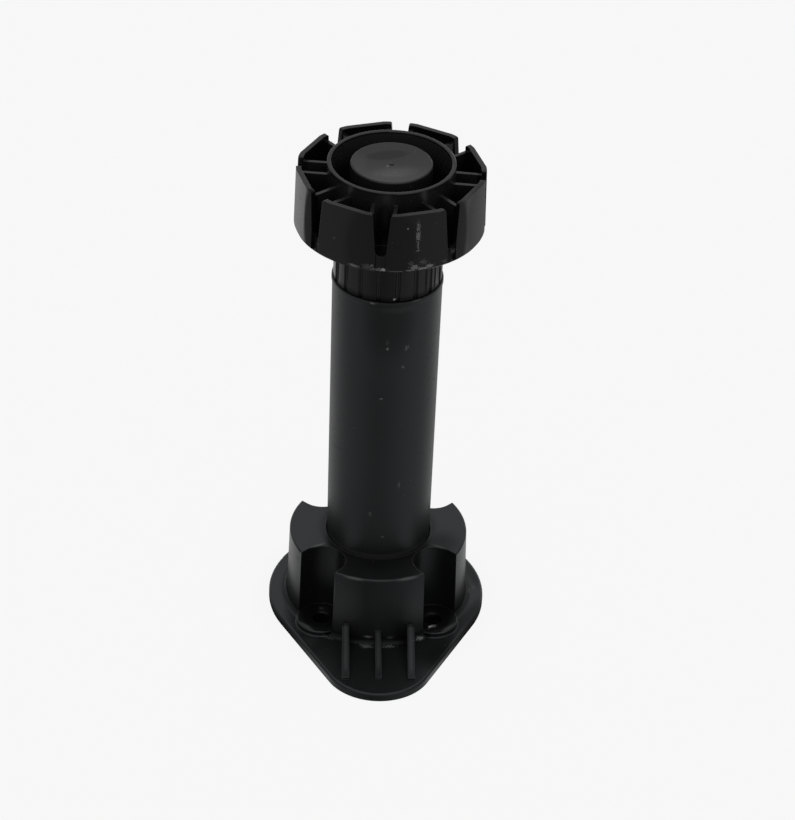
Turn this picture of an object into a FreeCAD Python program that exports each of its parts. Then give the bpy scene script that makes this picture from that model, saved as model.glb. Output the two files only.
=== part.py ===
import FreeCAD, Part

import math
import os

# A plastic cabinet leg, upside down: it stands on the face that is screwed under the
# cabinet. Sizes are millimetres. The origin lies in that face, on the axis of the tube,
# +Z runs along the leg to its floor end and the plate's tip points to -Y.

# Mounting flange: a drop-shaped plate with a drum that holds the tube.
plate_round_r = 31.0
plate_tip_r = 15.5
plate_tip_reach = 48.7
plate_thick = 2.4
plate_edge_round = 0.7
drum_top = 24.4
drum_top_r = 25.3
drum_draft = 1.5
drum_wall = 1.8
drum_roof = 1.9
drum_rim_round = 0.5
drum_foot_round = 1.6
socket_floor = 3.2
socket_lead_in = 0.25

# Four screw pockets on the diagonals, open outwards, each over a round pad.
screw_spacing = 32.0
screw_hole_r = 2.3
screw_sink_r = 2.7
pad_r = 7.0
pad_height = 1.6
pad_foot_round = 0.4
pocket_r = 6.5
pocket_flare = 4.0
pocket_wall = 1.7

# Three gussets between the drum's front wall and the tip.
gusset_spread = 9.2
gusset_reach = 42.2
gusset_side_height = 6.1
gusset_middle_height = 4.4
gusset_side_thick = 2.0
gusset_middle_thick = 1.7
gusset_end_height = 0.6

# Leg tube: drafted outside, plain bore, with a narrow bead round its mouth.
tube_length = 106.5
tube_low_r = 14.55
tube_mouth_r = 15.05
tube_bore_r = 13.1
bead_out = 0.2
bead_height = 1.3
bead_round = 0.3
tube_mouth_chamfer = 0.4
socket_clearance = 0.1

# Adjusting foot: fluted collar, hollow stem, eight-sided castle with a ring and a disc.
foot_gap = 0.3
collar_height = 15.7
collar_r = 14.85
flute_count = 18
flute_r = 0.75
flute_depth = 0.5
flute_turn = -101.0
stem_length = 36.0
stem_clearance = 0.5
stem_bore_r = 9.4
stem_end_chamfer = 0.8
castle_height = 17.0
castle_top_r = 25.4
castle_low_r = 25.75
panel_top_apothem = 24.85
panel_low_apothem = 25.4
panel_thick = 1.4
castle_edge_round = 0.9
web_thick = 3.2
sides = 8
slot_low_r = 1.5
slot_flare = 4.5
slot_sill = 4.6
slot_mouth_round = 0.6
slot_groove_depth = 0.45
slot_turn = -96.9
rib_thick = 1.0
rib_spacing = 6.0
rib_drop = 1.5
ring_r = 17.25
ring_wall = 1.15
ring_rise = 2.1
ring_round = 0.25
disc_r = 11.1
disc_drop = 0.35
disc_round = 0.5
disc_dish = 0.5
disc_skin = 2.0
groove_floor = 5.0
gate_mark_r = 0.6
gate_mark_height = 0.2

# Heights that follow from the sizes above.
drum_foot_r = drum_top_r + (drum_top - plate_thick) * math.tan(math.radians(drum_draft))
pad_top = plate_thick + pad_height
tube_taper = (tube_mouth_r - tube_low_r) / tube_length
socket_r = tube_low_r + (drum_top - socket_floor) * tube_taper + socket_clearance
mouth_z = socket_floor + tube_length
collar_z = mouth_z + foot_gap
castle_z = collar_z + collar_height
castle_top = castle_z + castle_height
ring_top = castle_top + ring_rise
disc_top = ring_top - disc_drop
web_top = castle_z + web_thick
stem_r = tube_bore_r - stem_clearance

up = FreeCAD.Vector(0, 0, 1)
centre = FreeCAD.Vector(0, 0, 0)

# How far a cutting shape runs past the face that it cuts.
beyond = 5.0


def at(x, y, z=0.0):
    return FreeCAD.Vector(x, y, z)


def line(a, b):
    return Part.LineSegment(a, b).toShape()


def arc(a, middle, b):
    return Part.Arc(a, middle, b).toShape()


def quarter(a, b, arc_centre):
    """The shorter arc from a to b about a centre."""
    radius = (a - arc_centre).Length
    half_way = (a - arc_centre) + (b - arc_centre)
    half_way.normalize()
    return arc(a, arc_centre + half_way * radius, b)


def turned_solid(edges):
    """A profile in the XZ plane, turned about the Z axis."""
    return Part.Face(Part.Wire(edges)).revolve(centre, up, 360)


def prism(edges, z, height):
    """A level outline at z = 0, raised to z and drawn up."""
    solid = Part.Face(Part.Wire(edges)).extrude(at(0, 0, height))
    solid.translate(at(0, 0, z))
    return solid


def tube_between(inner_r, outer_r, z, height):
    outer = Part.makeCylinder(outer_r, height, at(0, 0, z))
    return outer.cut(Part.makeCylinder(inner_r, height, at(0, 0, z)))


def fused(shapes):
    return shapes[0].multiFuse(shapes[1:]).removeSplitter()


def around(shape, angle):
    copy = shape.copy()
    copy.rotate(centre, up, angle)
    return copy


def drop_outline():
    """The round part and the tip, joined by the two lines that touch both."""
    tip_y = -(plate_tip_reach - plate_tip_r)
    lean = math.acos((plate_round_r - plate_tip_r) / -tip_y)
    side_x = math.sin(lean)
    side_y = -math.cos(lean)
    right_back = at(plate_round_r * side_x, plate_round_r * side_y)
    right_tip = at(plate_tip_r * side_x, tip_y + plate_tip_r * side_y)
    left_back = at(-right_back.x, right_back.y)
    left_tip = at(-right_tip.x, right_tip.y)
    return [
        arc(right_back, at(0, plate_round_r), left_back),
        line(left_back, left_tip),
        arc(left_tip, at(0, -plate_tip_reach), right_tip),
        line(right_tip, right_back),
    ]


def make_plate():
    plate = prism(drop_outline(), 0, plate_thick)
    rim = [e for e in plate.Edges if all(abs(v.Z - plate_thick) < 1e-6 for v in e.Vertexes)]
    return plate.makeFillet(plate_edge_round, rim)


def make_drum():
    """The drum with its rounded rim and the hollow round at its foot."""
    lean = math.tan(math.radians(drum_draft))
    foot_edge = at(drum_foot_r + drum_foot_round, 0, plate_thick)
    foot_top = at(drum_foot_r - drum_foot_round * lean, 0, plate_thick + drum_foot_round)
    wall_top = at(drum_top_r + drum_rim_round * lean, 0, drum_top - drum_rim_round)
    rim = at(drum_top_r - drum_rim_round, 0, drum_top)
    below = at(foot_edge.x, 0, 0)
    return turned_solid([
        line(centre, below),
        line(below, foot_edge),
        quarter(foot_edge, foot_top, at(foot_edge.x, 0, foot_top.z)),
        line(foot_top, wall_top),
        quarter(wall_top, rim, at(rim.x, 0, wall_top.z)),
        line(rim, at(0, 0, drum_top)),
        line(at(0, 0, drum_top), centre),
    ])


def pocket_outline(radius):
    """A U about the screw, open away from the tube, along the +X axis."""
    screw_x = screw_spacing * math.sqrt(0.5)
    far = drum_foot_r + drum_foot_round + beyond
    mouth = radius + (far - screw_x) * math.tan(math.radians(pocket_flare))
    left = at(screw_x, radius)
    right = at(screw_x, -radius)
    return [
        arc(left, at(screw_x - radius, 0), right),
        line(right, at(far, -mouth)),
        line(at(far, -mouth), at(far, mouth)),
        line(at(far, mouth), left),
    ]


def make_pad():
    """The round pad under one screw, at the origin, with a small hollow round at its foot."""
    foot = at(pad_r + pad_foot_round, 0, plate_thick)
    side = at(pad_r, 0, plate_thick + pad_foot_round)
    top = at(pad_r, 0, pad_top - pad_foot_round / 2)
    edge = at(pad_r - pad_foot_round / 2, 0, pad_top)
    return turned_solid([
        line(centre, at(foot.x, 0, 0)),
        line(at(foot.x, 0, 0), foot),
        quarter(foot, side, at(foot.x, 0, side.z)),
        line(side, top),
        line(top, edge),
        line(edge, at(0, 0, pad_top)),
        line(at(0, 0, pad_top), centre),
    ])


def make_screw_hole():
    """A hole through one pad, eased at its top edge, at the origin."""
    sink_depth = screw_sink_r - screw_hole_r
    hole = Part.makeCylinder(screw_hole_r, pad_top + beyond, at(0, 0, -beyond / 2))
    sink = Part.makeCone(screw_hole_r, screw_sink_r, sink_depth, at(0, 0, pad_top - sink_depth))
    return hole.fuse(sink)


def make_gusset(x, height, thick):
    """A thin web that slopes from the drum's wall down to the plate near the tip."""
    back = -(drum_top_r - drum_wall / 2)
    wall = -drum_foot_r
    outline = [
        at(0, back, plate_thick / 2),
        at(0, back, plate_thick + height),
        at(0, wall, plate_thick + height),
        at(0, -gusset_reach, plate_thick + gusset_end_height),
        at(0, -gusset_reach, plate_thick / 2),
    ]
    web = Part.Face(Part.makePolygon(outline + outline[:1])).extrude(at(thick, 0, 0))
    web.translate(at(x - thick / 2, 0, 0))
    return web


def make_core_space():
    """One of the four hollows inside the drum, open at the mounting face, about the +X axis."""
    roof = drum_top - drum_roof
    space = tube_between(socket_r + drum_wall, drum_top_r - drum_wall, -beyond, roof + beyond)
    quarter_block = Part.makeBox(plate_round_r, plate_round_r, roof + beyond, at(0, 0, -beyond))
    space = space.common(around(quarter_block, -45))
    for side in (-45, 45):
        wall = prism(pocket_outline(pocket_r + pocket_wall), -beyond, roof + beyond)
        space = space.cut(around(wall, side))
    return space


def make_socket():
    """The bore that the tube stands in, with its lead-in."""
    bore = Part.makeCylinder(socket_r, drum_top + beyond, at(0, 0, socket_floor))
    lead_z = drum_top - socket_lead_in
    lead = Part.makeCone(socket_r, socket_r + socket_lead_in, socket_lead_in, at(0, 0, lead_z))
    return bore.fuse(lead)


def make_mounting_flange():
    diagonals = [45 + 90 * n for n in range(4)]
    to_screw = at(screw_spacing * math.sqrt(0.5), 0, 0)
    pad = make_pad().translated(to_screw)
    hole = make_screw_hole().translated(to_screw)
    pocket = prism(pocket_outline(pocket_r), pad_top, drum_top + beyond)
    gussets = [
        make_gusset(-gusset_spread, gusset_side_height, gusset_side_thick),
        make_gusset(0, gusset_middle_height, gusset_middle_thick),
        make_gusset(gusset_spread, gusset_side_height, gusset_side_thick),
    ]
    drum = make_drum().cut([around(pocket, angle) for angle in diagonals])
    body = fused([make_plate(), drum] + [around(pad, angle) for angle in diagonals] + gussets)
    spaces = [make_core_space()]
    spaces += [around(spaces[0], 90 * n) for n in range(1, 4)]
    holes = [around(hole, angle) for angle in diagonals]
    return body.cut(spaces + holes + [make_socket()]).removeSplitter()


def make_leg_tube():
    bead_r = tube_mouth_r + bead_out
    bead_z = mouth_z - bead_height
    seat = at(tube_low_r, 0, socket_floor)
    neck = at(tube_mouth_r, 0, bead_z - bead_out)
    lip = at(bead_r, 0, bead_z)
    lip_top = at(bead_r, 0, mouth_z - bead_round)
    rim = at(bead_r - bead_round, 0, mouth_z)
    chamfer_top = at(tube_bore_r + tube_mouth_chamfer, 0, mouth_z)
    chamfer_low = at(tube_bore_r, 0, mouth_z - tube_mouth_chamfer)
    bore_low = at(tube_bore_r, 0, socket_floor)
    return turned_solid([
        line(bore_low, seat),
        line(seat, neck),
        line(neck, lip),
        line(lip, lip_top),
        quarter(lip_top, rim, at(rim.x, 0, lip_top.z)),
        line(rim, chamfer_top),
        line(chamfer_top, chamfer_low),
        line(chamfer_low, bore_low),
    ])


def octagon(apothem, z):
    reach = apothem / math.cos(math.pi / sides)
    corners = []
    for n in range(sides + 1):
        angle = math.radians(360 * n / sides)
        corners.append(at(reach * math.cos(angle), reach * math.sin(angle), z))
    return Part.makePolygon(corners)


def castle_body(inset):
    """The eight-sided drum of the foot: flat panels, cut off by a cone at the corners."""
    flats = Part.makeLoft([
        octagon(panel_low_apothem - inset, castle_z),
        octagon(panel_top_apothem - inset, castle_top),
    ], True, True)
    rounds = Part.makeCone(castle_low_r - inset, castle_top_r - inset, castle_height, at(0, 0, castle_z))
    return flats.common(rounds)


def make_edge_round():
    """What a round takes off the castle's lower edge: outside the arc, in a turned ring."""
    far = castle_low_r + beyond
    low = castle_z - beyond
    in_edge = at(castle_low_r - castle_edge_round, 0, castle_z)
    out_edge = at(castle_low_r, 0, castle_z + castle_edge_round)
    return turned_solid([
        line(at(in_edge.x, 0, low), at(far, 0, low)),
        line(at(far, 0, low), at(far, 0, out_edge.z)),
        line(at(far, 0, out_edge.z), out_edge),
        quarter(out_edge, in_edge, at(in_edge.x, 0, out_edge.z)),
        line(in_edge, at(in_edge.x, 0, low)),
    ])


def make_slot():
    """One slot through the castle's wall, along the +X axis, with the shallow groove under it.

    It is round below, a little wider above, and rounded off into the wall's top.
    """
    lean = math.radians(slot_flare)
    sill = castle_z + slot_sill
    low_half = slot_low_r * math.cos(lean)
    low_z = sill + slot_low_r - slot_low_r * math.sin(lean)
    side_z = castle_top - slot_mouth_round
    side_half = low_half + (side_z - low_z) * math.tan(lean)
    mouth_half = side_half + slot_mouth_round
    outline = Part.Wire([
        arc(at(0, -low_half, low_z), at(0, 0, sill), at(0, low_half, low_z)),
        line(at(0, low_half, low_z), at(0, side_half, side_z)),
        quarter(at(0, side_half, side_z), at(0, mouth_half, castle_top), at(0, mouth_half, side_z)),
        line(at(0, mouth_half, castle_top), at(0, mouth_half, ring_top)),
        line(at(0, mouth_half, ring_top), at(0, -mouth_half, ring_top)),
        line(at(0, -mouth_half, ring_top), at(0, -mouth_half, castle_top)),
        quarter(at(0, -mouth_half, castle_top), at(0, -side_half, side_z), at(0, -mouth_half, side_z)),
        line(at(0, -side_half, side_z), at(0, -low_half, low_z)),
    ])
    slot = Part.Face(outline).extrude(at(castle_low_r, 0, 0))
    slot.translate(at(ring_r + beyond / 2, 0, 0))
    groove_start = at(castle_low_r - slot_groove_depth, -low_half, castle_z - beyond)
    groove = Part.makeBox(beyond, 2 * low_half, low_z - groove_start.z, groove_start)
    return slot.fuse(groove)


def make_slot_ribs():
    """The two ribs that stand beside one slot and tie the panels to the ring."""
    length = castle_top_r - panel_thick / 2 - (ring_r - ring_wall / 2)
    height = castle_height - rib_drop - web_thick / 2
    ribs = []
    for side in (-1, 1):
        y = side * rib_spacing / 2 - rib_thick / 2
        start = at(ring_r - ring_wall / 2, y, castle_z + web_thick / 2)
        ribs.append(Part.makeBox(length, rib_thick, height, start))
    return ribs


def make_castle():
    """Panels, ribs, slots and web of the foot, before the ring and the disc."""
    outside = castle_body(0).cut(make_edge_round())
    outside_ring = tube_between(ring_r - ring_wall / 2, castle_low_r, web_top, castle_height)
    hollow = castle_body(panel_thick).common(outside_ring)
    shell = outside.cut(hollow)
    angles = [slot_turn + 360 * n / sides for n in range(sides)]
    ribs = [around(rib, angle) for angle in angles for rib in make_slot_ribs()]
    shell = fused([around(shell, slot_turn)] + ribs)
    return shell.cut([around(make_slot(), angle) for angle in angles])


def make_hub():
    """Stem, collar, ring and disc, which share the axis, as one turned solid."""
    ring_in = ring_r - ring_wall
    floor = castle_z + groove_floor
    stem_low = collar_z - stem_length
    skin_low = disc_top - disc_dish - disc_skin
    dish_edge = disc_r - disc_round
    mark_z = disc_top - disc_dish + gate_mark_height
    mark_foot = at(gate_mark_r, 0, disc_top - disc_dish)
    dish_far = at(dish_edge, 0, disc_top)
    dish_half = at(dish_edge / 2, 0, disc_top - disc_dish * 3 / 4)
    return turned_solid([
        line(at(stem_bore_r, 0, stem_low), at(stem_r - stem_end_chamfer, 0, stem_low)),
        line(at(stem_r - stem_end_chamfer, 0, stem_low), at(stem_r, 0, stem_low + stem_end_chamfer)),
        line(at(stem_r, 0, stem_low + stem_end_chamfer), at(stem_r, 0, collar_z)),
        line(at(stem_r, 0, collar_z), at(collar_r, 0, collar_z)),
        line(at(collar_r, 0, collar_z), at(collar_r, 0, castle_z + web_thick / 2)),
        line(at(collar_r, 0, castle_z + web_thick / 2), at(ring_r, 0, castle_z + web_thick / 2)),
        line(at(ring_r, 0, castle_z + web_thick / 2), at(ring_r, 0, ring_top - ring_round)),
        quarter(at(ring_r, 0, ring_top - ring_round), at(ring_r - ring_round, 0, ring_top),
                at(ring_r - ring_round, 0, ring_top - ring_round)),
        line(at(ring_r - ring_round, 0, ring_top), at(ring_in + ring_round, 0, ring_top)),
        quarter(at(ring_in + ring_round, 0, ring_top), at(ring_in, 0, ring_top - ring_round),
                at(ring_in + ring_round, 0, ring_top - ring_round)),
        line(at(ring_in, 0, ring_top - ring_round), at(ring_in, 0, floor)),
        line(at(ring_in, 0, floor), at(disc_r, 0, floor)),
        line(at(disc_r, 0, floor), at(disc_r, 0, disc_top - disc_round)),
        quarter(at(disc_r, 0, disc_top - disc_round), dish_far, at(dish_edge, 0, disc_top - disc_round)),
        arc(dish_far, dish_half, mark_foot),
        line(mark_foot, at(gate_mark_r, 0, mark_z)),
        line(at(gate_mark_r, 0, mark_z), at(0, 0, mark_z)),
        line(at(0, 0, mark_z), at(0, 0, skin_low)),
        line(at(0, 0, skin_low), at(stem_bore_r, 0, skin_low)),
        line(at(stem_bore_r, 0, skin_low), at(stem_bore_r, 0, stem_low)),
    ])


def make_flutes():
    """The upright grooves round the collar."""
    groove = Part.makeCylinder(flute_r, collar_height, at(collar_r + flute_r - flute_depth, 0, collar_z))
    return [around(groove, flute_turn + 360 * n / flute_count) for n in range(flute_count)]


def make_adjusting_foot():
    well = Part.makeCylinder(ring_r - ring_wall / 2, castle_height, at(0, 0, castle_z + web_thick / 2))
    castle = make_castle().cut(well)
    castle = castle.cut(Part.makeCylinder(collar_r - flute_depth * 2, web_thick, at(0, 0, castle_z)))
    return make_hub().cut(make_flutes()).fuse(castle).removeSplitter()


os.makedirs("parts", exist_ok=True)
nodes = {
    "mounting_flange": make_mounting_flange,
    "leg_tube": make_leg_tube,
    "adjusting_foot": make_adjusting_foot,
}
for name, make in nodes.items():
    shape = make()
    solid = shape.Solids[0]
    box = solid.BoundBox
    print(name, "solids", len(shape.Solids), "valid", solid.isValid(), "volume", round(solid.Volume),
          "z", round(box.ZMin, 2), round(box.ZMax, 2))
    solid.exportStep("parts/" + name + ".step")
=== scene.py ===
import math

import bpy
from mathutils import Matrix, Vector


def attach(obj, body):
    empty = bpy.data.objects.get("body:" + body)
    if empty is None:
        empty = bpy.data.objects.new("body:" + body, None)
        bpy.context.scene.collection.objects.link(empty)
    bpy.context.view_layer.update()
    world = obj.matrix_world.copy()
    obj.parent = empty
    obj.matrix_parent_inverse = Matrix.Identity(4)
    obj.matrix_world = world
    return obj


# A black plastic cabinet leg, upside down on its mounting flange. Lengths are metres.
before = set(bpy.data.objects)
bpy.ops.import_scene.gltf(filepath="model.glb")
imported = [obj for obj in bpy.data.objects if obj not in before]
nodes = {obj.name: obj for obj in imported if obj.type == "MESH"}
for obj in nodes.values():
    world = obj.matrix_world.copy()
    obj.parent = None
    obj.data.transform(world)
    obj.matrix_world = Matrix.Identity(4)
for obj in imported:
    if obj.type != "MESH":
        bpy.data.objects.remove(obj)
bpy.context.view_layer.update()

MM = 0.001

# Radii and heights of the mouldings, which the thread and the bands of painted highlight and
# painted shade follow.
stem_r = 12.6 * MM
socket_r = 14.9 * MM
ring_bore_r = 16.1 * MM
drum_foot_r = 26.3 * MM
drum_top = 24.4 * MM
gusset_spread = 9.2 * MM
panel_turn = math.radians(-74.4)
panel_step = math.radians(45)

# The coarse thread on the foot's stem: a ridge that reaches a little into the stem, with the width of
# its root and the crest's share of it.
thread_pitch = 4.0 * MM
thread_depth = 0.35 * MM
thread_sunk = 0.3 * MM
thread_root = 2.2 * MM
thread_crest_share = 0.45
thread_turns = 8
thread_start = 76.0 * MM
thread_steps = 72
thread_smooth = math.radians(30)

# Marks, zones of painted highlight and zones of painted shade of the three mouldings. Each has its
# turn about the axis in degrees, its radius and height in mm, its half sizes outward, across and
# upward in mm, and its strength. The front is at -90 degrees and the left at 180. Marks are pale,
# with ragged edges.

# Scuffs on the castle's front and its lower edge, specks on the disc, and one on the collar.
foot_marks = [
    (-74.6, 25.2, 138.8, 1.6, 0.55, 1.6, 0.35),
    (-74.6, 25.2, 136.4, 1.6, 0.60, 1.9, 0.45),
    (-74.5, 25.2, 133.6, 1.6, 0.30, 1.9, 0.30),
    (-74.3, 25.2, 131.9, 1.6, 0.60, 0.3, 0.35),
    (-81.3, 25.2, 138.8, 1.6, 0.22, 0.3, 0.50),
    (-126.9, 25.2, 132.9, 1.6, 0.35, 0.4, 0.20),
    (-113.0, 25.4, 126.6, 1.6, 1.60, 0.5, 0.40),
    (-104.5, 25.4, 127.0, 1.6, 1.60, 0.9, 0.16),
    (-101.8, 25.4, 127.6, 1.6, 0.40, 0.4, 0.40),
    (-99.0, 25.4, 126.4, 1.6, 3.00, 0.5, 0.30),
    (-95.0, 25.4, 126.5, 1.6, 0.60, 0.4, 1.60),
    (-88.0, 25.4, 126.1, 1.6, 2.60, 0.3, 0.45),
    (-78.6, 25.4, 126.2, 1.6, 1.40, 0.3, 0.45),
    (-76.4, 25.4, 126.9, 1.6, 1.20, 0.8, 0.45),
    (-71.0, 25.4, 126.4, 1.6, 2.00, 0.35, 0.60),
    (-67.0, 25.4, 126.9, 1.6, 1.30, 0.5, 0.60),
    (-70.6, 25.4, 128.3, 1.6, 1.10, 0.7, 0.16),
    (-78.5, 25.4, 128.2, 1.6, 1.00, 0.7, 0.12),
    (-57.0, 25.4, 127.3, 1.6, 0.90, 0.6, 0.14),
    (-139.7, 25.3, 128.4, 1.6, 0.50, 0.8, 0.16),
    (-50.2, 25.3, 129.0, 1.6, 0.70, 0.8, 0.20),
    (-133.5, 1.7, 144.0, 0.45, 0.50, 1.0, 0.30),
    (-81.5, 5.0, 144.0, 0.30, 0.90, 1.0, 0.12),
    (-95.0, 6.4, 144.0, 0.35, 4.50, 1.0, 0.05),
    (-84.2, 14.8, 110.7, 1.6, 0.50, 0.40, 0.90),
]

# Painted highlights on the disc's front and its left edge.
foot_bright = [
    (-80.0, 4.9, 144.0, 4.4, 8.60, 2.0, 0.036),
    (180.0, 9.0, 144.0, 3.0, 7.00, 2.0, 0.012),
]

# Painted shade on the disc's back, the castle's left, right and front sides, its front slot, and the
# collar's flanks.
foot_shade = [
    (104.0, 4.5, 144.0, 2.7, 7.00, 1.6, 0.24),
    (-147.0, 25.2, 134.0, 3.0, 4.20, 14.0, 0.85),
    (-47.0, 25.2, 134.0, 3.0, 4.60, 14.0, 0.60),
    (-24.0, 25.2, 134.0, 3.0, 9.00, 14.0, 0.30),
    (-96.9, 25.0, 134.0, 3.0, 17.0, 14.0, 0.27),
    (-96.7, 17.25, 136.5, 1.2, 2.60, 6.5, 0.60),
    (-156.5, 14.8, 118.0, 1.5, 0.90, 12.0, 0.85),
    (-139.5, 14.8, 118.0, 1.5, 0.70, 12.0, 0.60),
    (-48.0, 14.8, 118.0, 1.5, 0.50, 12.0, 0.60),
    (-33.0, 14.8, 118.0, 1.5, 0.60, 12.0, 0.85),
    (-18.0, 14.8, 118.0, 2.5, 3.60, 12.0, 0.60),
]

# Specks down the tube's front, and two on its mouth.
tube_marks = [
    (-89.4, 14.9, 95.0, 1.6, 0.35, 0.45, 0.42),
    (-89.8, 14.9, 97.0, 1.6, 0.60, 1.10, 0.06),
    (-69.2, 14.9, 94.8, 1.6, 0.65, 0.85, 0.20),
    (-72.2, 14.9, 88.8, 1.6, 0.45, 0.40, 0.25),
    (-94.3, 14.9, 78.6, 1.6, 0.45, 0.25, 0.45),
    (-71.1, 14.9, 49.2, 1.6, 0.35, 1.30, 0.16),
    (-101.9, 14.7, 39.4, 1.6, 0.50, 0.80, 0.12),
    (-86.8, 14.7, 31.7, 1.6, 0.45, 0.35, 0.22),
    (-106.0, 15.0, 109.3, 1.6, 0.80, 0.25, 0.40),
    (-60.0, 15.0, 109.5, 1.6, 1.20, 0.20, 0.20),
]

# Painted shade on the tube's front below the collar.
tube_shade = [
    (-88.0, 14.8, 103.0, 3.0, 13.0, 16.0, 0.30),
]

# A painted highlight on the band just below the tube's mouth.
tube_bright = [
    (-80.0, 15.0, 107.4, 2.0, 9.00, 1.60, 0.018),
]

# Painted glints at the drum's foot and on the right screw hole's front rim, a pale speck in the left
# pocket, dust on the plate's right, and a scuff on the drum's top.
flange_glints_and_dust = [
    (-96.4, 25.8, 4.6, 0.8, 1.50, 0.45, 0.42),
    (-96.6, 27.5, 2.5, 0.8, 1.80, 0.60, 0.30),
    (-83.9, 27.4, 2.5, 0.6, 2.20, 0.60, 0.30),
    (-82.0, 26.0, 4.4, 0.8, 1.20, 0.50, 0.14),
    (-62.9, 26.6, 2.7, 0.6, 1.10, 0.80, 0.40),
    (-122.2, 27.4, 2.5, 0.5, 2.20, 0.60, 0.10),
    (-52.7, 25.0, 4.0, 0.5, 0.80, 0.80, 1.10),
    (-50.5, 25.3, 4.0, 0.7, 0.90, 0.80, 0.30),
    (-143.0, 19.9, 4.0, 0.8, 0.80, 0.80, 0.10),
    (-1.3, 27.0, 2.6, 0.5, 1.60, 0.60, 0.10),
    (2.0, 28.4, 2.6, 0.5, 1.20, 0.60, 0.08),
    (-126.0, 19.0, 24.4, 1.8, 2.40, 0.50, 0.03),
]

# Painted highlights on the gussets, the block's edges and sides, the front pockets and pads, the
# plate's left, the joint's left, the edges of the drum's two ears, and the outer rims of the front pads.
flange_bright = [
    (-90.0, 34.0, 5.4, 9.5, 12.0, 2.0, 0.012),
    (-106.5, 25.3, 24.0, 1.4, 4.20, 0.60, 0.070),
    (-71.7, 25.3, 24.0, 1.4, 4.60, 0.60, 0.080),
    (-90.0, 25.3, 24.0, 1.4, 9.00, 0.50, 0.015),
    (-119.9, 25.4, 18.0, 1.0, 0.60, 6.50, 0.050),
    (-90.0, 25.3, 14.0, 2.0, 12.5, 10.0, 0.006),
    (-111.0, 25.3, 13.0, 2.5, 9.00, 13.0, 0.014),
    (-64.0, 25.3, 12.0, 2.5, 7.00, 13.0, 0.014),
    (-146.0, 18.0, 17.5, 4.5, 4.50, 9.0, 0.014),
    (-140.0, 19.5, 4.0, 3.0, 3.40, 1.5, 0.022),
    (-42.0, 20.5, 3.6, 3.0, 3.40, 1.5, 0.018),
    (-128.0, 31.0, 2.4, 3.4, 3.40, 0.8, 0.008),
    (-166.0, 14.9, 24.6, 1.0, 4.50, 1.4, 0.034),
    (-152.0, 19.5, 24.4, 3.2, 0.60, 0.60, 0.080),
    (-28.0, 19.5, 24.4, 3.2, 0.60, 0.60, 0.080),
    (-135.0, 28.7, 4.0, 0.9, 4.20, 0.70, 0.060),
    (-45.0, 28.7, 4.0, 0.9, 4.20, 0.70, 0.060),
]

# Painted shade in the four screw pockets.
screw_turns = (-135.0, -45.0, 45.0, 135.0)
pocket_shade = [(turn, 22.0, 1.6, 7.0, 7.60, 7.0, 0.72) for turn in screw_turns]

# Painted shade on the right ear, the block's top, and the plate's right side.
flange_shaded = [
    (-24.0, 19.0, 24.4, 8.0, 9.00, 1.0, 0.40),
    (-90.0, 17.5, 24.4, 6.0, 9.00, 1.0, 0.28),
    (-24.0, 29.5, 2.4, 2.8, 12.0, 1.0, 0.45),
    (14.0, 29.5, 2.4, 2.8, 9.00, 1.0, 0.30),
    (-61.0, 36.0, 2.4, 8.5, 10.0, 1.0, 0.55),
]

# How much of a zone is at full strength, for each kind of zone.
mark_core = 0.5
soft_core = 0.2
slot_core = 0.6
pocket_core = 0.75

# Bands of painted light and painted shade on the mouldings, each from where it starts to where it
# is full or gone, and their strengths.
hollow_inner = (10.9 * MM, 11.1 * MM)
hollow_outer = (22.4 * MM, 23.2 * MM)
hollow_depth = (134.0 * MM, 142.0 * MM)
hollow_mouth = (143.9 * MM, 144.5 * MM)
hollow_light = 0.011
ring_width = (0.4 * MM, 1.1 * MM)
ring_light = 0.013
joint_width = (0.2 * MM, 0.9 * MM)
joint_rise = (0.4 * MM, 1.6 * MM)
joint_glint = 0.03
gusset_width = (0.1 * MM, 0.8 * MM)
gusset_foot = (3.4 * MM, 4.2 * MM)
gusset_head = (8.6 * MM, 9.2 * MM)
gusset_start = (25.9 * MM, 26.5 * MM)
gusset_sheen = 0.026
round_width = (0.6 * MM, 1.6 * MM)
round_rise = (3.4 * MM, 5.2 * MM)
round_front = (14.0 * MM, 19.0 * MM)
round_shade = 0.38
round_front_shade = 0.30
drum_by_tube = (14.9 * MM, 18.0 * MM)
drum_by_tube_shade = 0.35
tube_by_drum = (24.6 * MM, 31.0 * MM)
tube_by_drum_shade = 0.4
collar_by_tube = (110.2 * MM, 112.0 * MM)
collar_by_tube_shade = 0.6

# The castle's sides: how round they stay, how they lean, and how a side is told from its edges.
panel_round = 0.3
panel_lean = 0.03
panel_face = (0.93, 0.96)
panel_edge = (0.90, 0.95)
panel_outside = (24.2 * MM, 24.5 * MM)

# The moulded surface: patterns in repeats per metre, then the bands and strengths of what they make.
patch_scale = 260
cloud_scale = 38
grain_scale = 2600
scratch_scale = 900
dust_scale = 620
ragged_scale = 3000
coarse_detail = 3
fine_detail = 2
cloud_dark = 0.8
cloud_light = 1.2
cloud_blue = 0.06
cloud_relief = 0.6
cloud_roughness = 0.12
scratch_stretch = (1, 0.08, 1)
scratch_turn = (0.3, 0.2, 0.9)
scratch_band = (0.62, 0.7)
scratch_roughness = 0.08
edge_radius = 0.22 * MM
edge_samples = 6
# Edges are paled in patches, partly as real wear and partly as painted highlight.
edge_bend = (0.01, 0.2)
edge_patches = (0.38, 0.60)
edge_wear_and_glint = 0.7
edge_tone_factor = 3
edge_tone_more = 0.03
edge_roughness = 0.1
dust_grain = (0.05, 0.16)
dust_share = (0.92, 1.0)
dust_wear = 0.16
ragged_reach = 1.8
pale_tone = 0.42
# The painted shade: a matt near-black that the shade zones mix in.
painted_shade_tone = 0.004
painted_shade_roughness = 0.9
bump_strength = 0.25
bump_height = 0.05 * MM

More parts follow.
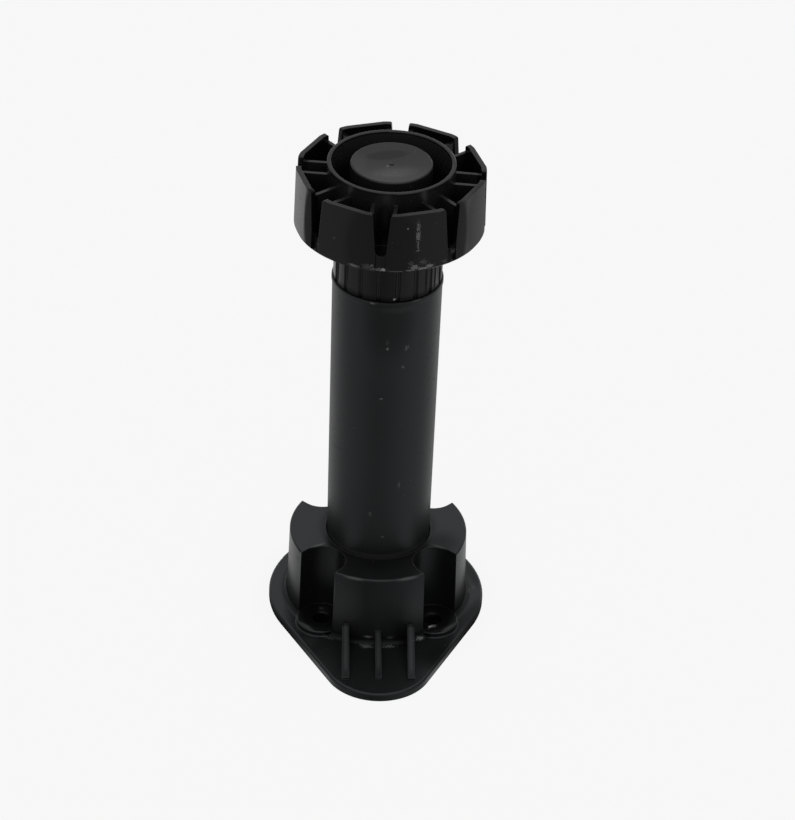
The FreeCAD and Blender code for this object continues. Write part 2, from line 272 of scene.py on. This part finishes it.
# Camera: where it stands, from the point beside the leg's axis that it aims at.
camera_aim = Vector((4.17, -0.26, 65.18)) * MM
camera_distance = 887.2 * MM
camera_elevation = math.radians(34.13)
camera_turn = math.radians(-2.64)
camera_roll = math.radians(2.32)
camera_lens = 139.4

# The studio: each bright side with its direction, the cosines where its light starts and is full,
# and its level.
backdrop_dim = 0.02
backdrop_sides = {
    "left": ((-1.0, 0.0, -0.35), 0.30, 0.95, 0.20),
    "right": ((1.0, 0.0, -0.35), 0.30, 0.95, 0.17),
    "behind": ((0.0, 0.85, 0.5), 0.30, 0.95, 0.31),
    "behind_low": ((0.0, 0.9, -0.6), 0.30, 0.95, 0.56),
    "overhead": ((0.0, 0.0, 1.0), 0.40, 0.95, 0.60),
    "front_high": ((0.0, -0.9, 0.6), 0.30, 0.95, 0.35),
    "left_front": ((-0.75, -0.65, -0.5), 0.50, 0.98, 0.07),
    "right_front": ((0.75, -0.65, -0.5), 0.50, 0.98, 0.15),
}

# The floor and what lies on it, each a little under the leg: its size, its drop and its tone.
floor_size = 30
floor_drop = 0.03 * MM
floor_glow = 0.915
floor_tone = 0.03
floor_roughness = 0.9
hole_shade_size = 42 * MM
hole_shade_drop = 0.01 * MM
hole_shade_tone = 0.12
contact_size = 88 * MM
contact_drop = 0.02 * MM
contact_tone = 0.01
contact_dark = 30 * MM
contact_clear = 40 * MM

# How much of its blue a cool grey has in its green.
green_with_blue = 0.4

# A Mix node that mixes colours has its factor, first and second colour on these sockets.
mix_factor = 0
mix_first = 6
mix_second = 7


class Value:
    """A socket in a material. Sums and products of it add Math nodes to that material."""

    def __init__(self, finish, socket):
        self.finish = finish
        self.socket = socket

    def __add__(self, other):
        return self.finish.maths("ADD", self, other)

    def __radd__(self, other):
        return self.finish.maths("ADD", other, self)

    def __sub__(self, other):
        return self.finish.maths("SUBTRACT", self, other)

    def __rsub__(self, other):
        return self.finish.maths("SUBTRACT", other, self)

    def __mul__(self, other):
        return self.finish.maths("MULTIPLY", self, other)

    def __rmul__(self, other):
        return self.finish.maths("MULTIPLY", other, self)

    def larger(self, other):
        return self.finish.maths("MAXIMUM", self, other)

    def size(self):
        return self.finish.maths("ABSOLUTE", self)

    def rise(self, start, end):
        """0 up to start, 1 from end on, and a smooth rise between them."""
        settings = {"interpolation_type": "SMOOTHSTEP"}
        inputs = {"Value": self, "From Min": start, "From Max": end}
        return self.finish.add("ShaderNodeMapRange", settings, inputs)["Result"]

    def fall(self, start, end):
        """1 up to start, 0 from end on, and a smooth fall between them."""
        return 1 - self.rise(start, end)

    def near(self, middle, full, gone):
        """1 where the value is within full of the middle, 0 where it is further off than gone."""
        return (self - middle).size().fall(full, gone)


class Finish:
    """The nodes of one material or of the studio's backdrop, and the one method that adds to them."""

    def __init__(self, owner):
        self.owner = owner
        self.owner.use_nodes = True
        self.tree = self.owner.node_tree
        self.tree.nodes.clear()
        self.place = self.add("ShaderNodeTexCoord")["Object"]

    def add(self, kind, settings=None, inputs=None):
        """Adds a node, sets its settings, then its sockets, and returns its outputs by name."""
        node = self.tree.nodes.new(kind)
        for name, value in (settings or {}).items():
            setattr(node, name, value)
        for name, value in (inputs or {}).items():
            if isinstance(value, Value):
                self.tree.links.new(value.socket, node.inputs[name])
            else:
                node.inputs[name].default_value = value
        return {out.name: Value(self, out) for out in node.outputs if out.enabled}

    def maths(self, operation, *values):
        return self.add("ShaderNodeMath", {"operation": operation}, dict(enumerate(values)))["Value"]

    def noise(self, scale, detail, vector=None):
        inputs = {"Vector": vector or self.place, "Scale": scale, "Detail": detail}
        return self.add("ShaderNodeTexNoise", None, inputs)["Fac"]

    def dots(self, scale):
        """Distance from the nearest of the scattered points, and a random level for each point."""
        outputs = self.add("ShaderNodeTexVoronoi", None, {"Vector": self.place, "Scale": scale})
        level = self.add("ShaderNodeSeparateColor", None, {"Color": outputs["Color"]})["Red"]
        return outputs["Distance"], level

    def dot(self, vector, direction):
        inputs = {0: vector, 1: direction}
        return self.add("ShaderNodeVectorMath", {"operation": "DOT_PRODUCT"}, inputs)["Value"]

    def length(self, vector):
        return self.add("ShaderNodeVectorMath", {"operation": "LENGTH"}, {0: vector})["Value"]

    def across(self):
        return self.dot(self.place, (1, 0, 0))

    def along(self):
        return self.dot(self.place, (0, 1, 0))

    def height(self):
        return self.dot(self.place, (0, 0, 1))

    def radius(self):
        """Distance from the leg's axis."""
        inputs = {0: self.place, 1: (1, 1, 0)}
        flat = self.add("ShaderNodeVectorMath", {"operation": "MULTIPLY"}, inputs)["Vector"]
        return self.length(flat)

    def zones(self, marks, core, ragged=0.0):
        """Strength of the strongest zone at a place, full in a zone's core and gone at its half sizes."""
        total = 0.0
        for turn, radius, height, outward, across, upward, strength in marks:
            angle = math.radians(turn)
            centre = Vector((radius * math.cos(angle), radius * math.sin(angle), height)) * MM
            sizes = Vector((outward, across, upward)) * MM
            inputs = {"Vector": self.place, "Location": centre, "Rotation": (0, 0, angle), "Scale": sizes}
            own = self.add("ShaderNodeMapping", {"vector_type": "TEXTURE"}, inputs)["Vector"]
            total = ((self.length(own) + ragged).fall(core, 1.0) * strength).larger(total)
        return total

    def mix(self, amount, first, second):
        inputs = {mix_factor: amount, mix_first: first, mix_second: second}
        return self.add("ShaderNodeMix", {"data_type": "RGBA"}, inputs)["Result"]

    def surface(self, shader):
        self.add("ShaderNodeOutputMaterial", None, {"Surface": shader})


def grey(level, blue=0.0):
    """A grey, which is a little cooler where it is given some blue."""
    return (level, level * (1 + blue * green_with_blue), level * (1 + blue), 1.0)


def edges_worn_and_glinting(finish, rounding, face):
    """Edges, where the rounded normal leaves the face's own, in patches: real wear, and painted
    highlights too.
    """
    bend = 1 - finish.dot(rounding, face)
    return bend.rise(*edge_bend) * finish.noise(patch_scale, coarse_detail).rise(*edge_patches)


def pale_marks(finish, marks):
    """Specks of dust, and the marks that were placed one by one, among them painted glints on the flange.
    """
    distance, level = finish.dots(dust_scale)
    dust = distance.fall(*dust_grain) * level.rise(*dust_share)
    ragged = finish.noise(ragged_scale, fine_detail) * (2 * ragged_reach) - ragged_reach
    return dust * dust_wear + finish.zones(marks, mark_core, ragged)


def scratches(finish):
    inputs = {"Vector": finish.place, "Scale": scratch_stretch, "Rotation": scratch_turn}
    drawn_out = finish.add("ShaderNodeMapping", None, inputs)["Vector"]
    return finish.noise(scratch_scale, fine_detail, drawn_out).rise(*scratch_band)


def moulded_plastic(name, tone, gloss, shine, tint, marks, bright, painted_shade, panels=None):
    """Black satin plastic: cloudy and grained, worn on its edges with painted highlights there too, with
    painted highlights in zones, and with painted shade, a matt near-black, where little light gets in.

    The function given as bright tells how much painted highlight a place has, the next one how much
    painted shade, and panels the normals of flat sides."""
    finish = Finish(bpy.data.materials.new(name))
    rounding = finish.add("ShaderNodeBevel", {"samples": edge_samples}, {"Radius": edge_radius})["Normal"]
    face = finish.add("ShaderNodeNewGeometry")["Normal"]
    edge = edges_worn_and_glinting(finish, rounding, face)
    pale = pale_marks(finish, marks)
    cloud = finish.noise(cloud_scale, coarse_detail)
    uneven = (cloud - 0.5) * cloud_roughness + scratches(finish) * scratch_roughness
    clean = finish.mix(cloud, grey(tone * cloud_dark), grey(tone * cloud_light, cloud_blue))
    # Edges paled by wear and by painted highlight.
    worn_and_glinting = finish.mix(edge * edge_wear_and_glint, clean, grey(tone * edge_tone_factor + edge_tone_more))
    # Painted highlights, mixed towards white.
    lit = finish.mix(bright(finish), worn_and_glinting, grey(1.0))
    bump = finish.add("ShaderNodeBump", None, {
        "Strength": bump_strength,
        "Distance": bump_height,
        "Height": finish.noise(grain_scale, fine_detail) + cloud * cloud_relief,
        "Normal": panels(finish, rounding, face) if panels else rounding,
    })["Normal"]
    satin = finish.add("ShaderNodeBsdfPrincipled", None, {
        "Base Color": finish.mix(pale, lit, grey(pale_tone)),
        "Roughness": gloss + uneven + edge * edge_roughness,
        "Specular IOR Level": shine,
        "Specular Tint": tint,
        "Normal": bump,
    })["BSDF"]
    # Painted shade: a matt near-black without shine, mixed in where little light gets in.
    shade_matt = finish.add("ShaderNodeBsdfPrincipled", None, {
        "Base Color": finish.mix(pale, grey(painted_shade_tone), grey(pale_tone)),
        "Roughness": painted_shade_roughness,
        "Specular IOR Level": 0.0,
        "Normal": bump,
    })["BSDF"]
    inputs = {0: painted_shade(finish), 1: satin, 2: shade_matt}
    finish.surface(finish.add("ShaderNodeMixShader", None, inputs)["Shader"])
    return finish.owner


def flat_panels(finish, rounding, face):
    """Each of the castle's eight sides as one even face, where the mould leaves it a little round."""
    turn = finish.maths("ARCTAN2", finish.along(), finish.across()) - panel_turn
    middle = finish.maths("ROUND", turn * (1 / panel_step)) * panel_step
    leaning = turn * panel_round + middle * (1 - panel_round) + panel_turn
    inputs = {
        "X": finish.maths("COSINE", leaning),
        "Y": finish.maths("SINE", leaning),
        "Z": panel_lean,
    }
    even = finish.add("ShaderNodeCombineXYZ", None, inputs)["Vector"]
    side = finish.dot(face, even).rise(*panel_face) * finish.dot(rounding, even).rise(*panel_edge)
    return finish.mix(side * finish.radius().rise(*panel_outside), rounding, even)


def bright_foot(finish):
    """Painted highlights on the disc, and painted light in the castle's hollows down to where the light
    ends.
    """
    radius = finish.radius()
    height = finish.height()
    hollow = radius.rise(*hollow_inner) * radius.fall(*hollow_outer)
    lit = height.rise(*hollow_depth) * height.fall(*hollow_mouth)
    light = radius.near(ring_bore_r, *ring_width) * ring_light + hollow_light
    return finish.zones(foot_bright, soft_core).larger(hollow * lit * light)


def bright_joint(finish):
    """A painted glint on the line where the tube stands in the drum."""
    line = finish.radius().near(socket_r, *joint_width)
    return line * finish.height().near(drum_top, *joint_rise) * joint_glint


# Painted highlights below the mouth and at the joint.
def bright_tube(finish):
    return finish.zones(tube_bright, soft_core).larger(bright_joint(finish))


def bright_flange(finish):
    """Painted highlights on edges, along the ridges of the three gussets and on the line round the tube.
    """
    aside = finish.across().size()
    middle_ridge = aside.fall(*gusset_width)
    ridges = middle_ridge.larger(aside.near(gusset_spread, *gusset_width))
    rise = finish.height().rise(*gusset_foot) * finish.height().fall(*gusset_head)
    ridges = ridges * rise * finish.radius().rise(*gusset_start)
    lines = (ridges * gusset_sheen).larger(bright_joint(finish))
    return finish.zones(flange_bright, soft_core).larger(lines)


def shade_flange(finish):
    """Painted shade in the pockets, on the round at the drum's foot and on the drum's top next to the
    tube.
    """
    radius = finish.radius()
    front = finish.dot(finish.place, (0, -1, 0)).rise(*round_front)
    foot = radius.near(drum_foot_r, *round_width) * finish.height().fall(*round_rise)
    foot = foot * (front * round_front_shade + round_shade)
    by_tube = radius.fall(*drum_by_tube) * drum_by_tube_shade
    shaded = finish.zones(flange_shaded, soft_core).larger(foot)
    return finish.zones(pocket_shade, pocket_core).larger(shaded).larger(by_tube)


def shade_tube(finish):
    """Painted shade just above the drum, and on the front below the collar."""
    by_drum = finish.height().fall(*tube_by_drum) * tube_by_drum_shade
    return finish.zones(tube_shade, soft_core).larger(by_drum)


def shade_foot(finish):
    """Painted shade in the castle's slots and on the collar, also where it enters the tube."""
    by_tube = finish.height().fall(*collar_by_tube) * collar_by_tube_shade
    return finish.zones(foot_shade, slot_core).larger(by_tube)


def dress(node, material):
    node.data.materials.clear()
    node.data.materials.append(material)


def make_stem_thread(material):
    """The ridge round the foot's stem: a trapezoid profile, wound up along the axis."""
    bpy.ops.object.select_all(action="DESELECT")
    middle = stem_r + (thread_depth - thread_sunk) / 2
    bpy.ops.mesh.primitive_plane_add(
        size=1, location=(middle, 0, thread_start), rotation=(math.radians(90), 0, 0))
    thread = bpy.context.object
    thread.name = "stem_thread"
    thread.scale = (thread_depth + thread_sunk, thread_root, 1)
    bpy.ops.object.transform_apply(location=True, rotation=True, scale=True)
    for vertex in thread.data.vertices:
        vertex.select = vertex.co.x > stem_r
    bpy.context.tool_settings.mesh_select_mode = (True, False, False)
    bpy.ops.object.mode_set(mode="EDIT")
    bpy.ops.transform.resize(value=(1, 1, thread_crest_share), center_override=(0, 0, thread_start))
    bpy.ops.mesh.select_all(action="SELECT")
    bpy.ops.mesh.delete(type="ONLY_FACE")
    bpy.ops.object.mode_set(mode="OBJECT")
    winding = thread.modifiers.new("winding", "SCREW")
    winding.axis = "Z"
    winding.angle = math.radians(360)
    winding.screw_offset = thread_pitch
    winding.iterations = thread_turns
    winding.steps = thread_steps
    winding.render_steps = thread_steps
    bpy.ops.object.modifier_apply(modifier=winding.name)
    bpy.ops.object.mode_set(mode="EDIT")
    bpy.ops.mesh.select_all(action="SELECT")
    bpy.ops.mesh.fill_holes(sides=4)
    bpy.ops.mesh.select_all(action="SELECT")
    bpy.ops.mesh.normals_make_consistent(inside=False)
    bpy.ops.object.mode_set(mode="OBJECT")
    bpy.ops.object.shade_smooth_by_angle(angle=thread_smooth)
    dress(thread, material)
    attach(thread, "foot")


def make_camera():
    data = bpy.data.cameras.new("camera")
    data.lens = camera_lens
    camera = bpy.data.objects.new("camera", data)
    bpy.context.collection.objects.link(camera)
    back = Vector((
        math.sin(camera_turn) * math.cos(camera_elevation),
        -math.cos(camera_turn) * math.cos(camera_elevation),
        math.sin(camera_elevation),
    ))
    level = back.to_track_quat("Z", "Y").to_matrix().to_4x4()
    roll = Matrix.Rotation(camera_roll, 4, "Z")
    camera.matrix_world = Matrix.Translation(camera_aim + back * camera_distance) @ level @ roll
    bpy.context.scene.camera = camera


def make_sheet(name, size, drop):
    """A level sheet on the studio's floor."""
    bpy.ops.object.select_all(action="DESELECT")
    bpy.ops.mesh.primitive_plane_add(size=size, location=(0, 0, -drop))
    sheet = bpy.context.object
    sheet.name = name
    return sheet


def make_floor():
    """The pale floor, which only the camera sees."""
    floor = make_sheet("floor", floor_size, floor_drop)
    floor.visible_glossy = False
    floor.visible_diffuse = False
    floor.visible_shadow = False
    pale = Finish(bpy.data.materials.new("floor_pale"))
    pale.surface(pale.add("ShaderNodeBsdfPrincipled", None, {
        "Base Color": grey(floor_tone),
        "Roughness": floor_roughness,
        "Specular IOR Level": 0.0,
        "Emission Color": grey(1.0),
        "Emission Strength": floor_glow,
    })["BSDF"])
    dress(floor, pale.owner)


def make_hole_shade():
    """The dark that the screw holes look down on."""
    shade = make_sheet("shade_under_the_holes", hole_shade_size, hole_shade_drop)
    dark = Finish(bpy.data.materials.new("shade_dark"))
    dark.surface(dark.add("ShaderNodeBsdfDiffuse", None, {"Color": grey(hole_shade_tone)})["BSDF"])
    dress(shade, dark.owner)


def make_contact_shade():
    """The dark round the leg's foot that its lower sides mirror. The camera doesn't see it."""
    mat = make_sheet("contact_shade", contact_size, contact_drop)
    mat.visible_camera = False
    soft = Finish(bpy.data.materials.new("contact_soft"))
    black = soft.add("ShaderNodeBsdfDiffuse", None, {"Color": grey(contact_tone)})["BSDF"]
    clear = soft.add("ShaderNodeBsdfTransparent")["BSDF"]
    inputs = {0: soft.radius().rise(contact_dark, contact_clear), 1: black, 2: clear}
    soft.surface(soft.add("ShaderNodeMixShader", None, inputs)["Shader"])
    dress(mat, soft.owner)


def make_backdrop():
    """The studio's soft light: a dim room with a bright side for each of backdrop_sides."""
    world = bpy.data.worlds.new("backdrop")
    bpy.context.scene.world = world
    sky = Finish(world)
    level = backdrop_dim
    for side, start, full, strength in backdrop_sides.values():
        level = level + sky.dot(sky.place, Vector(side).normalized()).rise(start, full) * strength
    background = sky.add("ShaderNodeBackground", None, {"Color": level})["Background"]
    sky.add("ShaderNodeOutputWorld", None, {"Surface": background})
    bpy.context.scene.view_settings.view_transform = "Standard"
    bpy.context.scene.view_settings.look = "None"


neutral = grey(1.0)
cool = (0.90, 0.95, 1.0, 1.0)
foot_black = moulded_plastic(
    "foot_black", tone=0.006, gloss=0.24, shine=0.5, tint=neutral, marks=foot_marks,
    bright=bright_foot, painted_shade=shade_foot, panels=flat_panels)
flange_black = moulded_plastic(
    "flange_black", tone=0.008, gloss=0.30, shine=0.5, tint=cool, marks=flange_glints_and_dust,
    bright=bright_flange, painted_shade=shade_flange)
tube_black = moulded_plastic(
    "tube_black", tone=0.016, gloss=0.42, shine=0.6, tint=cool, marks=tube_marks,
    bright=bright_tube, painted_shade=shade_tube)
dress(nodes["mounting_flange"], flange_black)
dress(nodes["leg_tube"], tube_black)
dress(nodes["adjusting_foot"], foot_black)
make_stem_thread(foot_black)
make_camera()
make_floor()
make_hole_shade()
make_contact_shade()
make_backdrop()
